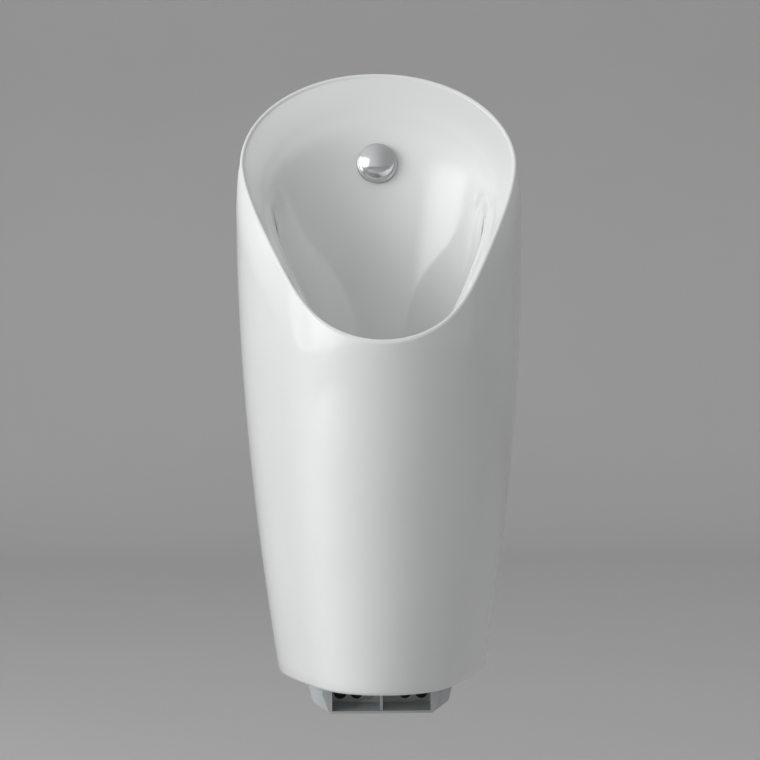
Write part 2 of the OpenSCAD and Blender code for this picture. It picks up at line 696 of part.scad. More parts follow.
// Control box with its battery bay open below
box_low = valve_floor - bonnet_t - box_h;
bay_h = cell_l + 4 * case_t;
box_end_x = box_x + box_w;
box_back = plate_t;
box_front = box_back + box_depth;
post_r = 3.2;
lid_screw_r = 1.4;
post_in = case_t + post_r - screw_gap;
box_mid_h = box_low + bay_h;
board_t = 1.6;
board_d = box_back + box_depth / 2;
module lid_places()
    for (x = [box_x + post_in, box_end_x - post_in])
        for (h = [box_mid_h + case_t + post_in, box_low + box_h - post_in])
            at(x, 0, h) rotate([90, 0, 0]) children();
module control_box() color("darkslategray") difference() {
    union() {
        difference() {
            block(box_x, box_end_x, box_back, box_front, box_low, box_low + box_h);
            block(box_x + case_t, box_end_x - case_t, box_back + case_t, box_front - case_t,
                box_low - overrun, box_mid_h);
            block(box_x + case_t, box_end_x - case_t, box_back + case_t, box_front + overrun,
                box_mid_h + case_t, box_low + box_h - case_t);
        }
        lid_places() translate([0, 0, box_back]) cylinder(r = post_r, h = box_depth);
    }
    lid_places() translate([0, 0, board_d + board_t]) cylinder(r = lid_screw_r, h = box_depth);
}
lid_low = box_mid_h;
module control_lid() color("slategray") difference() {
    union() {
        block(box_x, box_end_x, box_front, box_front + case_t, lid_low, box_low + box_h);
        difference() {
            block(box_x + 3 * case_t + post_r, box_end_x - 3 * case_t - post_r, box_front - case_t, box_front,
                lid_low + 2 * case_t, box_low + box_h - case_t - seat_gap);
            block(box_x + 4 * case_t + post_r, box_end_x - 4 * case_t - post_r,
                box_front - case_t - overrun, box_front,
                lid_low + 3 * case_t, box_low + box_h - 2 * case_t);
        }
    }
    lid_places() translate([0, 0, box_front - overrun])
        cylinder(r = lid_screw_r + seat_gap, h = case_t + 2 * overrun);
}
screw_head_share = 1.8;
lid_screw_l = 10;
module lid_screws() color("silver") lid_places() union() {
    translate([0, 0, box_front - lid_screw_l]) cylinder(r = lid_screw_r - run_gap, h = lid_screw_l + case_t);
    translate([0, 0, box_front + case_t]) cylinder(r = lid_screw_r * screw_head_share, h = lid_screw_r);
}
board_chip = 9;
board_notch_r = 4;
board_part_r = 4;
module circuit_board() color("darkgreen") union() {
    difference() {
        block(box_x + case_t + seat_gap, box_end_x - case_t - seat_gap, board_d, board_d + board_t,
            box_mid_h + case_t + seat_gap, box_low + box_h - case_t - seat_gap);
        lid_places() translate([0, 0, box_back]) cylinder(r = board_notch_r, h = box_depth);
    }
    block(box_x + box_w / 2 - board_chip, box_x + box_w / 2, board_d, board_d + 2 * board_t,
        box_mid_h + 2 * board_chip, box_mid_h + 3 * board_chip);
    rod_y(box_x + box_w / 4, box_mid_h + 3 * board_chip, board_d, board_d + board_t + 2 * board_part_r,
        board_part_r);
}
drawer_flange = 4;
cell_gap = 0.2;
cell_pitch = 2 * cell_r + case_t;
cell_mid_x = (box_x + box_end_x) / 2;
cell_mid_d = (box_back + box_front) / 2;
drawer_top = box_low + cell_l + 2 * case_t;
grip_w = 24;
grip_depth = 6;
module cell_places() for (i = [-1, 1]) for (j = [-1, 1])
    at(cell_mid_x + i * cell_pitch / 2, cell_mid_d + j * cell_pitch / 2, 0) children();
module battery_drawer() color("dimgray") difference() {
    union() {
        block(box_x + case_t + slide_gap, box_end_x - case_t - slide_gap, box_back + case_t + slide_gap,
            box_front - case_t - slide_gap, box_low - drawer_flange, drawer_top);
        block(box_x, box_end_x, box_back + slide_gap, box_front,
            box_low - drawer_flange, box_low - slide_gap);
    }
    cell_places() translate([0, 0, box_low + case_t]) cylinder(r = cell_r + cell_gap, h = bay_h);
    block(cell_mid_x - grip_w / 2, cell_mid_x + grip_w / 2, box_front - grip_depth, box_front + overrun,
        box_low - drawer_flange - overrun, box_low - slide_gap - case_t / 2);
}
cell_tip_r = 2.7;
cell_tip_h = 1;
module battery_cells() color("goldenrod") cell_places() union() {
    translate([0, 0, box_low + case_t]) cylinder(r = cell_r, h = cell_l - cell_tip_h);
    translate([0, 0, box_low + case_t]) cylinder(r = cell_tip_r, h = cell_l);
}
sensor_w = 50;
sensor_depth = 16;
sensor_x = -85;
sensor_low = 376;
sensor_h = 40;
module sensor_housing() color("darkslategray") difference() {
    block(sensor_x, sensor_x + sensor_w, plate_t, plate_t + sensor_depth, sensor_low, sensor_low + sensor_h);
    block(sensor_x + case_t, sensor_x + sensor_w - case_t, plate_t - overrun, plate_t + sensor_depth - case_t,
        sensor_low + case_t, sensor_low + sensor_h - case_t);
}
module sensor_board() color("darkgreen")
    block(sensor_x + case_t + seat_gap, sensor_x + sensor_w - case_t - seat_gap,
        plate_t + sensor_depth - case_t - seat_gap - board_t, plate_t + sensor_depth - case_t - seat_gap,
        sensor_low + case_t + seat_gap, sensor_low + sensor_h - case_t - seat_gap);

// Drain and trap, on the upright axis through the drain hole
sleeve_in_r = sleeve_r - trap_t;
flange_t = 3;
flange_in = 2;
flange_r = drain_flat_r - flange_in;
drain_gasket_t = 1.5;
sleeve_top = drain_h + drain_gasket_t + flange_t;
seat_step = 1.5;
seat_r = flange_r - flange_t - seat_step;
sleeve_rise = 76;
sleeve_low = housing_h + sleeve_rise;
under_h = drain_h - wall_t;
drain_nut_h = 14;
nut_low = under_h - drain_nut_h;
module drain_sleeve() color("whitesmoke") difference() {
    union() {
        rod_z(0, drain_d, drain_h + drain_gasket_t, sleeve_top, flange_r);
        rod_z(0, drain_d, sleeve_low, sleeve_top - seat_step, sleeve_r);
    }
    rod_z(0, drain_d, sleeve_low - overrun, sleeve_top + overrun, sleeve_in_r);
    rod_z(0, drain_d, sleeve_top - seat_step, sleeve_top + overrun, seat_r);
}
module drain_gasket() color("black")
    ring_z(0, drain_d, drain_h, drain_h + drain_gasket_t, sleeve_r + screw_gap, flange_r);
module nut_washer() color("black")
    ring_z(0, drain_d, under_h - overrun, under_h, sleeve_r + screw_gap, flange_r);
nut_wing = 4;
nut_wings = 8;
module drain_nut() color("gainsboro") difference() {
    union() {
        rod_z(0, drain_d, nut_low, under_h - overrun, flange_r - nut_wing / 2);
        for (i = [0:nut_wings - 1])
            at(0, drain_d, nut_low) rotate([0, 0, 360 * i / nut_wings])
                translate([flange_r - nut_wing, -nut_wing / 2, 0])
                    cube([nut_wing, nut_wing, under_h - overrun - nut_low]);
    }
    rod_z(0, drain_d, nut_low - overrun, under_h, sleeve_r + run_gap);
}
neck_r = sleeve_r + seat_gap + trap_t + seat_gap;
union_top = nut_low - seat_gap;
neck_seal_t = 4;
neck_top = union_top - trap_t - neck_seal_t;
neck_rise = 84;
neck_low = housing_h + neck_rise;
union_low = neck_low + 2 * trap_t;
union_out_r = neck_r + 2 * trap_t;
housing_in_r = housing_r - trap_t;
housing_floor_t = 4;
housing_floor = housing_h + housing_floor_t;
spigot_end = 44;
waste_in_r = waste_r - trap_t;
module trap_housing() color("whitesmoke") difference() {
    union() {
        at(0, drain_d, 0) rotate_extrude() polygon([
            [0, housing_h],
            [housing_r - 2 * trap_t, housing_h],
            [housing_r, housing_h + 2 * trap_t],
            [housing_r, neck_low - 2 * trap_t],
            [neck_r, neck_low],
            [neck_r, neck_top],
            [0, neck_top]
        ]);
        rod_y(0, outlet_h, spigot_end, drain_d - housing_in_r, waste_r);
    }
    at(0, drain_d, 0) rotate_extrude() polygon([
        [0, housing_floor],
        [housing_in_r - 2 * trap_t, housing_floor],
        [housing_in_r, housing_floor + 2 * trap_t],
        [housing_in_r, neck_low - 3 * trap_t],
        [sleeve_r + seat_gap, neck_low - trap_t],
        [sleeve_r + seat_gap, neck_top + overrun],
        [0, neck_top + overrun]
    ]);
    rod_y(0, outlet_h, spigot_end - overrun, drain_d - housing_in_r + overrun, waste_in_r);
}
module neck_seal() color("black")
    ring_z(0, drain_d, neck_top, neck_top + neck_seal_t, sleeve_r + run_gap, neck_r - seat_gap);
grip_ribs = 16;
grip_rib_r = 1.6;
module trap_union_nut() color("gainsboro") difference() {
    union() {
        rod_z(0, drain_d, union_low, union_top, union_out_r);
        for (i = [0:grip_ribs - 1])
            at(0, drain_d, union_low) rotate([0, 0, 360 * i / grip_ribs]) translate([union_out_r, 0, 0])
                cylinder(r = grip_rib_r, h = union_top - union_low - trap_t, $fn = 16);
    }
    rod_z(0, drain_d, union_low - overrun, union_top - trap_t, neck_r + run_gap);
    rod_z(0, drain_d, union_low, union_top + overrun, sleeve_r + run_gap);
}
pipe_end = 70;
stop_in = 38;
outlet_seal_t = 4;
module outlet_pipe() color("whitesmoke") difference() {
    rod_y(0, outlet_h, wall_gap, pipe_end, waste_r + trap_t + run_gap);
    rod_y(0, outlet_h, wall_gap - overrun, stop_in, waste_r + 5 * run_gap);
    rod_y(0, outlet_h, spigot_end - seat_gap, pipe_end + overrun, waste_r + 5 * run_gap);
    rod_y(0, outlet_h, stop_in - overrun, spigot_end + overrun, waste_in_r);
}
module outlet_seal() color("black")
    ring_y(0, outlet_h, pipe_end, pipe_end + outlet_seal_t, waste_r + run_gap, waste_r + trap_t);

// Lift-out insert with its lip seal and strainer
insert_flange_r = seat_r - seat_gap;
insert_t = 2.5;
insert_top = sleeve_top - seat_step + insert_t;
insert_floor_gap = 14;
insert_low = housing_floor + insert_floor_gap;
insert_in_r = insert_r - insert_t;
lip_groove = 8;
lip_below = 12;
lip_low = drain_h - lip_below;
module trap_insert() color("lightsteelblue") difference() {
    union() {
        rod_z(0, drain_d, sleeve_top - seat_step, insert_top, insert_flange_r);
        rod_z(0, drain_d, insert_low, insert_top - seat_step, insert_r);
    }
    rod_z(0, drain_d, insert_low - overrun, insert_top + overrun, insert_in_r);
}
module insert_seal() color("black")
    at(0, drain_d, 0) rotate_extrude() polygon([
        [insert_r + run_gap, lip_low],
        [insert_r + seat_gap * 2, lip_low],
        [sleeve_in_r - run_gap, lip_low + lip_groove / 2],
        [sleeve_in_r - run_gap, lip_low + lip_groove * 0.65],
        [insert_r + seat_gap * 2, lip_low + lip_groove],
        [insert_r + run_gap, lip_low + lip_groove]
    ]);
strainer_in = 5;
strainer_r = insert_flange_r - strainer_in;
strainer_rise = 9;
strainer_t = 1.5;
strainer_hole_shares = [[6, 0.25], [12, 0.54], [18, 0.82]];
strainer_hole_r = 2;
strainer_spigot = 6;
strainer_steps = 10;
module strainer_dome(r, rise, base)
    at(0, drain_d, insert_top) rotate_extrude() polygon(concat(
        [[0, base], [r, base]],
        [for (i = [0:strainer_steps])
            [r * cos(90 * i / strainer_steps), strainer_t + rise * sin(90 * i / strainer_steps)]]
    ));
module strainer() color("silver") difference() {
    union() {
        strainer_dome(strainer_r, strainer_rise, 0);
        rod_z(0, drain_d, insert_top - strainer_spigot, insert_top + strainer_t, insert_in_r - slide_gap);
    }
    difference() {
        rod_z(0, drain_d, insert_top - strainer_spigot - overrun, insert_top + strainer_rise,
            insert_in_r - slide_gap - strainer_t);
        at(0, drain_d, insert_top) rotate_extrude() polygon(concat(
            [[0, strainer_rise + overrun], [strainer_r, strainer_rise + overrun]],
            [for (i = [0:strainer_steps])
                [(strainer_r - strainer_t) * cos(90 * i / strainer_steps),
                    (strainer_rise - strainer_t) * sin(90 * i / strainer_steps) + strainer_t]]
        ));
    }
    for (ring = strainer_hole_shares)
        for (i = [0:ring[0] - 1])
            at(0, drain_d, insert_top) rotate([0, 0, 360 * i / ring[0]])
                translate([ring[1] * insert_in_r, 0, 0])
                    cylinder(r = strainer_hole_r, h = 2 * strainer_rise, $fn = 16);
}

// Lower bracket: a moulded tray below the ceramic, on a back plate that runs up behind the trap
bracket_top = plate_low;
bracket_r = 4;
tray_t = 3;
skirt_h = 24;
rib_t = 3;
pocket_t = 4;
pocket_r = 11;
small_pocket_r = 6.5;
small_hole_x = 12.8;
small_drop_share = 1.02;
tray_front_half_w = 60.5;
tray_front_top_half_w = 71;
tray_front_rise = 28;
bracket_top_half_w = 87;
bracket_in_half_w = 80;
outlet_hole_gap = 1.5;
fixing_x = 62;
fixing_h = 62;
fixing_r = 3.5;
ear_x = 74;
ear_t = 6;
ear_depth = 38;
ear_low = 8;
ear_h = 34;
lock_r = 3;
lock_h = ear_low + ear_h / 2;
lock_d = ear_depth - 2 * ear_t;
module tray_outline_back() offset(r = bracket_r) offset(delta = -bracket_r) polygon([
    [-bracket_top_half_w, -skirt_h],
    [-bracket_half_w, -bracket_drop + 2 * bracket_r],
    [-tray_front_half_w - 2 * bracket_r, -bracket_drop],
    [tray_front_half_w + 2 * bracket_r, -bracket_drop],
    [bracket_half_w, -bracket_drop + 2 * bracket_r],
    [bracket_top_half_w, -skirt_h]
]);
module tray_outline_front() offset(r = bracket_r) offset(delta = -bracket_r) polygon([
    [-tray_front_top_half_w, -bracket_drop + tray_front_rise],
    [-tray_front_half_w, -bracket_drop],
    [tray_front_half_w, -bracket_drop],
    [tray_front_top_half_w, -bracket_drop + tray_front_rise]
]);
module tray_form() hull() {
    slab(0, bracket_t) tray_outline_back($fn = 32);
    slab(tray_depth - bracket_r, tray_depth) tray_outline_front($fn = 32);
}
module entry_pocket() hull() {
    translate([entry_in_x, -entry_drop]) circle(r = pocket_r);
    translate([entry_out_x, -entry_drop]) circle(r = pocket_r);
}
module small_pocket() hull() {
    translate([small_hole_x, -entry_drop * small_drop_share]) circle(r = small_pocket_r);
    translate([entry_in_x, -entry_drop * small_drop_share]) circle(r = small_pocket_r);
}
module lower_bracket() color("silver") difference() {
    union() {
        difference() {
            tray_form();
            slab(bracket_t, tray_depth + overrun) translate([-tray_half_w, -bracket_drop + tray_t])
                square([2 * tray_half_w, bracket_drop]);
        }
        block(-rib_t / 2, rib_t / 2, bracket_t - overrun, tray_depth - bracket_r, -bracket_drop + tray_t / 2,
            -bracket_drop + tray_front_rise);
        slab(0, bracket_t) polygon([
            [-bracket_top_half_w, -skirt_h],
            [-bracket_in_half_w, 0],
            [-bracket_in_half_w, bracket_top],
            [bracket_in_half_w, bracket_top],
            [bracket_in_half_w, 0],
            [bracket_top_half_w, -skirt_h]
        ]);
        both_sides() block(ear_x, ear_x + ear_t, bracket_t - overrun, ear_depth, ear_low, ear_low + ear_h);
    }
    rod_y(0, outlet_h, -overrun, bracket_t + overrun, waste_r + trap_t + outlet_hole_gap);
    both_sides() {
        slab(pocket_t, bracket_t + overrun) entry_pocket();
        slab(pocket_t, bracket_t + overrun) small_pocket();
        for (x = [entry_in_x, entry_out_x]) rod_y(x, -entry_drop, -overrun, bracket_t, entry_r);
        rod_y(small_hole_x, -entry_drop * small_drop_share, -overrun, bracket_t, small_hole_r);
        rod_y(fixing_x, fixing_h, -overrun, bracket_t + overrun, fixing_r);
        rod_x(ear_x - overrun, ear_x + ear_t + overrun, lock_d, lock_h, lock_r);
    }
}
plug_lip = 1.2;
plug_lip_t = 0.8;
plug_deep = 2;
module entry_plugs() color("black") both_sides() for (x = [entry_in_x, entry_out_x]) difference() {
    union() {
        rod_y(x, -entry_drop, run_gap, pocket_t, entry_r - run_gap);
        rod_y(x, -entry_drop, pocket_t, pocket_t + plug_lip_t, entry_r - run_gap);
    }
    rod_y(x, -entry_drop, plug_deep, pocket_t + overrun, entry_r - plug_lip);
}

// Lock screws in the bracket's ears press pads against the inside of the ceramic
pad_r = 9;
pad_t = 4;
lock_head_r = 5;
lock_head_l = 5;
lock_reach_share = 0.955;
lock_wall_x = (half_w(lock_h - pad_r) - wall_t) * lock_reach_share;
module lock_screws() color("silver") both_sides() difference() {
    union() {
        rod_x(ear_x - lock_head_l, ear_x - seat_gap, lock_d, lock_h, lock_head_r);
        rod_x(ear_x - lock_head_l, lock_wall_x - pad_t, lock_d, lock_h, lock_r - run_gap);
    }
    at(ear_x - lock_head_l - overrun, lock_d, lock_h) rotate([0, 90, 0])
        cylinder(r = lock_r, h = overrun + lock_r, $fn = hex);
}
module lock_pads() color("dimgray") both_sides() difference() {
    rod_x(lock_wall_x - 2 * pad_t, lock_wall_x, lock_d, lock_h, pad_r);
    rod_x(lock_wall_x - 2 * pad_t - overrun, lock_wall_x - pad_t + run_gap, lock_d, lock_h, lock_r + run_gap);
}

// Hangers: steel hooks that hold the shell's back panel
hook_reach = wall_t + hanger_pad_t + hanger_t;
hook_rise = 14;
hook_above = 20;
hanger_below = 14;
hook_top = hang_h + hook_above;
hanger_low = hang_h - hanger_below;
window_side = 4;
window_below = 8;
window_low = hanger_low - window_below;
module hanger_places() both_sides() translate([hanger_span / 2, 0, 0]) children();
module wall_hangers() color("lightgray") hanger_places() difference() {
    union() {
        block(-hanger_w / 2, hanger_w / 2, 0, hanger_t, hanger_low, hook_top + hanger_t);
        block(-hanger_w / 2, hanger_w / 2, 0, hook_reach, hook_top, hook_top + hanger_t);
        block(-hanger_w / 2, hanger_w / 2, hook_reach - hanger_t, hook_reach, hook_top,
            hook_top + hanger_t + hook_rise);
    }
    rod_y(0, hang_h, -overrun, hook_reach, hanger_hole_r);
}
pad_top = hook_top + hanger_t + hanger_pad_t;
module hanger_pads() color("whitesmoke") hanger_places() union() {
    block(-hanger_w / 2, hanger_w / 2, hanger_t / 2, hook_reach - hanger_t, hook_top + hanger_t, pad_top);
    block(-hanger_w / 2, hanger_w / 2, wall_t, hook_reach - hanger_t, hook_top + hanger_t,
        hook_top + hanger_t + hook_rise);
}

// Ceramic body: the shell with its service opening, hanger windows and spray head seat
opening_low_half_w = 88.5;
opening_half_w = 100;
opening_mid_h = 100;
opening_top_h = 455;
opening_r = 20;
module service_outline() offset(r = opening_r, $fn = 32) offset(delta = -opening_r) polygon([
    [-opening_low_half_w, -2 * opening_r],
    [-opening_half_w, opening_mid_h],
    [-opening_half_w, opening_top_h],
    [opening_half_w, opening_top_h],
    [opening_half_w, opening_mid_h],
    [opening_low_half_w, -2 * opening_r]
]);
module ceramic_body() color("white") difference() {
    shell_solid();
    slab(-overrun, wall_t + overrun) service_outline();
    hanger_places() block(-hanger_w / 2 - window_side, hanger_w / 2 + window_side, -overrun, wall_t + overrun,
        window_low, pad_top);
    spray_frame() {
        spray_disc(0, back_wall_d, seat_recess_r);
        spray_disc(-spray_wall_t - overrun, overrun, shank_r + seat_gap);
        spray_disc(-spray_wall_t - nut_r, -spray_wall_t, nut_r + washer_t);
    }
}

ceramic_body();
wall_hangers();
hanger_pads();
spray_cap();
spray_ring();
spray_gasket();
spray_body();
spray_washer();
spray_nut();
inlet_elbow();
riser_pipe();
valve_body();
diaphragm();
valve_bonnet();
bonnet_screws();
solenoid_plunger();
plunger_spring();
solenoid_coil();
coil_nut();
stop_valve_body();
stop_valve_ball();
stop_valve_stem();
stem_seal();
inlet_filter();
union_washer();
union_nut();
mounting_plate();
control_box();
control_lid();
lid_screws();
circuit_board();
battery_drawer();
battery_cells();
sensor_housing();
sensor_board();
drain_sleeve();
drain_gasket();
nut_washer();
drain_nut();
trap_housing();
neck_seal();
trap_union_nut();
outlet_pipe();
outlet_seal();
trap_insert();
insert_seal();
strainer();
lower_bracket();
entry_plugs();
lock_screws();
lock_pads();
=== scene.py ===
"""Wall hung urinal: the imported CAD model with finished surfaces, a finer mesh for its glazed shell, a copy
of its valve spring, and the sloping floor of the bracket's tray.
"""

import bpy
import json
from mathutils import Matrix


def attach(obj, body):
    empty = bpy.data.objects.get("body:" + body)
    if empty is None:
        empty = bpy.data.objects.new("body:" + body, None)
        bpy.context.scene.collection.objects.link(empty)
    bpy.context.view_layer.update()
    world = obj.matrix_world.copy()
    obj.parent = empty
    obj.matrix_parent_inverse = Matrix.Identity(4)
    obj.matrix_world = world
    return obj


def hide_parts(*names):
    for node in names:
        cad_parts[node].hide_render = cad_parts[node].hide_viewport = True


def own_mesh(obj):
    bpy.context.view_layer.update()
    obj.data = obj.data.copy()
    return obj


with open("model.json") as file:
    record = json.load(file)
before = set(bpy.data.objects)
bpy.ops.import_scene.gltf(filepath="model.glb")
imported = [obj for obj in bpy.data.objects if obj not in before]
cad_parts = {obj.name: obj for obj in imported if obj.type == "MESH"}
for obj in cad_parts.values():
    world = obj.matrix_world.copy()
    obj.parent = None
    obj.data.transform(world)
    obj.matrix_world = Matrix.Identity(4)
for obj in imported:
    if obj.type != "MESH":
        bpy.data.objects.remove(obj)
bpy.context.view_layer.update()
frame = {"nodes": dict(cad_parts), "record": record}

import json
import math

import bmesh
import bpy
from mathutils import Euler, Matrix, Vector

NODES = frame["nodes"]
SLOT_OF = {row["node"]: row["material_slot"] for row in frame["record"]["subparts"]}
MM = 0.001  # metres

# Sizes in mm and degrees, as in the part's source

BODY_H, BODY_HALF_W, FOOT_HALF_W = 690, 160, 118
LIP_DEPTH, FOOT_DEPTH, LIP_H = 357, 284, 382
RIM_HALF_W, RIM_WIDEST_DEPTH, LEAN_H = 156, 131, 60
WIDEST_DEPTH, FOOT_WIDEST_DEPTH, TAPER_START_H = 150, 101, 500
WALL_T, RIM_T, FOOT_EDGE_R = 10, 4.5, 4
CREASE_HALF_W, BACK_WALL_D = 121, 70
DRAIN_H, DRAIN_D, DRAIN_R, DRAIN_FLAT_R = 172, 152, 34, 45
HANG_H, RIM_WALL_GAP = 500, 6

SPRAY_H, SPRAY_TILT, SEAT_RECESS, RING_R = 581, 11, 1.5, 23.2
SPRAY_WALL_T, SHANK_R, NUT_R = 8, 12, 19
HANGER_SPAN, HANGER_W, WINDOW_SIDE, WINDOW_LOW, WINDOW_TOP = 140, 36, 4, 478, 525.5
OPENING = [(-88.5, -40), (88.5, -40), (100, 100), (100, 455), (-100, 455), (-100, 100)]
OPENING_R = 20

# Room that the cuts leave round the spray head's ring, shank and nut, and how far they run past the ceramic
SEAT_PLAY, SHANK_PLAY, NUT_PLAY, OVERRUN = 0.4, 0.3, 1.5, 2

# The wedges on the tray's floor, which is flat in the part's source
TRAY_HALF_W, TRAY_BACK, TRAY_FRONT, RIB_HALF_T = 57.7, 8, 41, 1.5
TRAY_FLOOR_H, RAMP_H = -56, 4.5

# Powers and shares that curve the outlines, as in the part's source
BACK_POWER, RIM_POWER, CORNER_POWER, SIDE_POWER, FRONT_POWER = 2.15, 2.03, 6, 1.77, 1.5
CORNER_REACH_SHARE, EGG_SHARE, EGG_POWER = 0.04, 0.12, 1.38
UNDER_FIRST_SHARE, UNDER_SPAN_SHARE, UNDER_POWER = 0.12, 0.54, 1.6
FOOT_EDGE_SHARE = 0.3

# Fineness of the shell's mesh. The powers crowd the rings of the wall and of the bowl towards the rim
COLUMNS, WALL_RINGS, ROLL_RINGS, BOWL_RINGS, UNDER_RINGS, INNER_RINGS = 256, 64, 12, 120, 26, 20
WALL_POWER, BOWL_POWER = 1.5, 1.35

# Fineness of the cuts, and how far from a point the bowl's normal there is measured
CYLINDER_SIDES, CORNER_STEPS = 96, 10
NORMAL_LEVEL_STEP, NORMAL_ANGLE_STEP = 0.04, 3

# Edges that bend by more than this many degrees stay sharp
CAD_SHARP, SHELL_SHARP, SPRING_SHARP = 32, 40, 80


def sin(a):
    return math.sin(math.radians(a))


def cos(a):
    return math.cos(math.radians(a))


def share_pow(v, p):
    """A power of v, where v counts as 0 below 0."""
    return max(v, 0.0) ** p


def lerp(a, b, t):
    return a + (b - a) * t


def shares(count):
    """Even steps from 0 to 1, with both ends."""
    return [i / count for i in range(count + 1)]


def at(x, d, h):
    """A place in the shared frame, in mm: depth d from the wall and height h above the ceramic's foot."""
    return Vector((x, -d, h - HANG_H))


# The outside of the shell and its rim. Angle 0 points to the wall and 180 to the front

RIM_HALF = RIM_T / 2


def mouth_h(d):
    return BODY_H - (BODY_H - LIP_H) * (d - RIM_WALL_GAP) / (LIP_DEPTH - RIM_WALL_GAP)


WIDEST_H = mouth_h(WIDEST_DEPTH)


def half_w(h):
    if h < TAPER_START_H:
        return BODY_HALF_W - (BODY_HALF_W - FOOT_HALF_W) * share_pow(1 - h / TAPER_START_H, SIDE_POWER)
    if h < WIDEST_H:
        return BODY_HALF_W
    rise = (h - WIDEST_H) / (BODY_H - WIDEST_H)
    return BODY_HALF_W * share_pow(1 - share_pow(rise, BACK_POWER), 1 / BACK_POWER)


def front_d(h):
    return LIP_DEPTH - (LIP_DEPTH - FOOT_DEPTH) * share_pow(1 - h / LIP_H, FRONT_POWER)


def station_d(h):
    """Depth at which the section at height h is widest."""
    return WIDEST_DEPTH - (WIDEST_DEPTH - FOOT_WIDEST_DEPTH) * share_pow(1 - h / LIP_H, FRONT_POWER)


def egg_dip(a):
    return EGG_SHARE * sin(180 * abs(cos(a)) ** EGG_POWER)


def front_x_share(a):
    return sin(a) * (1 - egg_dip(a))


def back_x_share(a):
    return share_pow(abs(sin(a)), 2 / CORNER_POWER)


def folded(a):
    """The angle on the right half that mirrors a, and the side's sign."""
    return (360 - a, -1) if a > 180 else (a, 1)


def outer_pt(a, h, inset):
    b, side = folded(a)
    width, station, front = half_w(h) - inset, station_d(h), front_d(h) - inset
    if b < 90:
        x = width * back_x_share(b)
        reach = station * (1 + CORNER_REACH_SHARE)
        d = max(inset, station - reach * share_pow(cos(b), 2 / CORNER_POWER))
    else:
        x = width * front_x_share(b)
        d = station - (front - station) * cos(b)
    return at(side * x, d, h)


def rim_pt(a, inset):
    b, side = folded(a)
    width, near, far = RIM_HALF_W - inset, RIM_WALL_GAP + inset, LIP_DEPTH - inset
    if b < 90:
        x = width * share_pow(sin(b), 2 / RIM_POWER)
        d = RIM_WIDEST_DEPTH - (RIM_WIDEST_DEPTH - near) * share_pow(cos(b), 2 / RIM_POWER)
    else:
        x = width * front_x_share(b)
        d = RIM_WIDEST_DEPTH - (far - RIM_WIDEST_DEPTH) * cos(b)
    return at(side * x, d, mouth_h(d) - RIM_HALF)


def roll_pt(a, t):
    """The rounded top of the rim, from its outer edge at t = 0 to its inner edge at t = 1."""
    across = lerp(rim_pt(a, 0), rim_pt(a, RIM_T), (1 - cos(180 * t)) / 2)
    return across + Vector((0, 0, RIM_HALF * sin(180 * t)))


def rim_top(a):
    return rim_pt(a, 0)[2] + HANG_H


def wall_pt(a, h, inset):
    """The outer wall, which leans in over its last stretch to meet the rim."""
    offset = rim_pt(a, 0) - outer_pt(a, rim_top(a), 0)
    lean = share_pow(1 - (rim_top(a) - h) / LEAN_H, 2)
    return outer_pt(a, h, inset) + Vector((offset[0] * lean, offset[1] * lean, 0))


# The bowl's rings: each (back d, back h, front d, front h, half width, widest share, egg share)

MOUTH_BACK, MOUTH_FRONT = RIM_WALL_GAP + RIM_T, LIP_DEPTH - RIM_T
BOWL_H = mouth_h(MOUTH_BACK) - RIM_HALF - DRAIN_H


def bowl_key(back, back_h, front, front_h, width, widest, egg):
    """Back and front places are shares of the back wall's depth, of the mouth's front and of the bowl's
    height. The width share counts band widths outward from the crease.
    """
    half_width = CREASE_HALF_W + (RIM_HALF_W - RIM_T - CREASE_HALF_W) * width
    return (BACK_WALL_D * back, DRAIN_H + BOWL_H * back_h, MOUTH_FRONT * front, DRAIN_H + BOWL_H * front_h,
            half_width, widest, egg)


BOWL_KEYS = [
    (MOUTH_BACK, mouth_h(MOUTH_BACK) - RIM_HALF, MOUTH_FRONT, mouth_h(MOUTH_FRONT) - RIM_HALF,
     RIM_HALF_W - RIM_T, (RIM_WIDEST_DEPTH - MOUTH_BACK) / (MOUTH_FRONT - MOUTH_BACK), 1),
    bowl_key(0.570, 0.934, 0.990, 0.400, 0.42, 0.38, 0.9),
    bowl_key(0.857, 0.871, 0.966, 0.378, 0.02, 0.38, 0.8),
    bowl_key(1.157, 0.650, 0.953, 0.290, -0.42, 0.36, 0.5),
    bowl_key(1.257, 0.455, 0.912, 0.180, -0.85, 0.40, 0.3),
    bowl_key(1.420, 0.240, 0.815, 0.082, -1.40, 0.45, 0.1),
    bowl_key(1.520, 0.090, 0.690, 0.030, -1.85, 0.50, 0),
    (DRAIN_D - DRAIN_FLAT_R, DRAIN_H, DRAIN_D + DRAIN_FLAT_R, DRAIN_H, DRAIN_FLAT_R, 0.5, 0),
]
LAST_KEY = len(BOWL_KEYS) - 1

# The glazed side turns into the bowl more softly than the casting's rings, and leaves them by 5.3 mm at most
GLAZE_KEYS = [
    BOWL_KEYS[0],
    bowl_key(0.571, 0.924, 0.990, 0.400, 0.29, 0.36, 0.9),
    bowl_key(0.907, 0.840, 0.966, 0.378, -0.13, 0.34, 0.8),
    bowl_key(1.150, 0.660, 0.953, 0.290, -0.46, 0.36, 0.5),
    *BOWL_KEYS[4:],
]


def bowl_key_at(v, keys):
    """Catmull-Rom blend of the rings, level v."""
    i = min(math.floor(v), LAST_KEY - 1)
    t = v - i
    rows = [keys[min(max(i + k, 0), LAST_KEY)] for k in (-1, 0, 1, 2)]
    return [
        (2 * b + (c - a) * t + (2 * a - 5 * b + 4 * c - d) * t ** 2 + (3 * b - a - 3 * c + d) * t ** 3) / 2
        for a, b, c, d in zip(*rows)
    ]


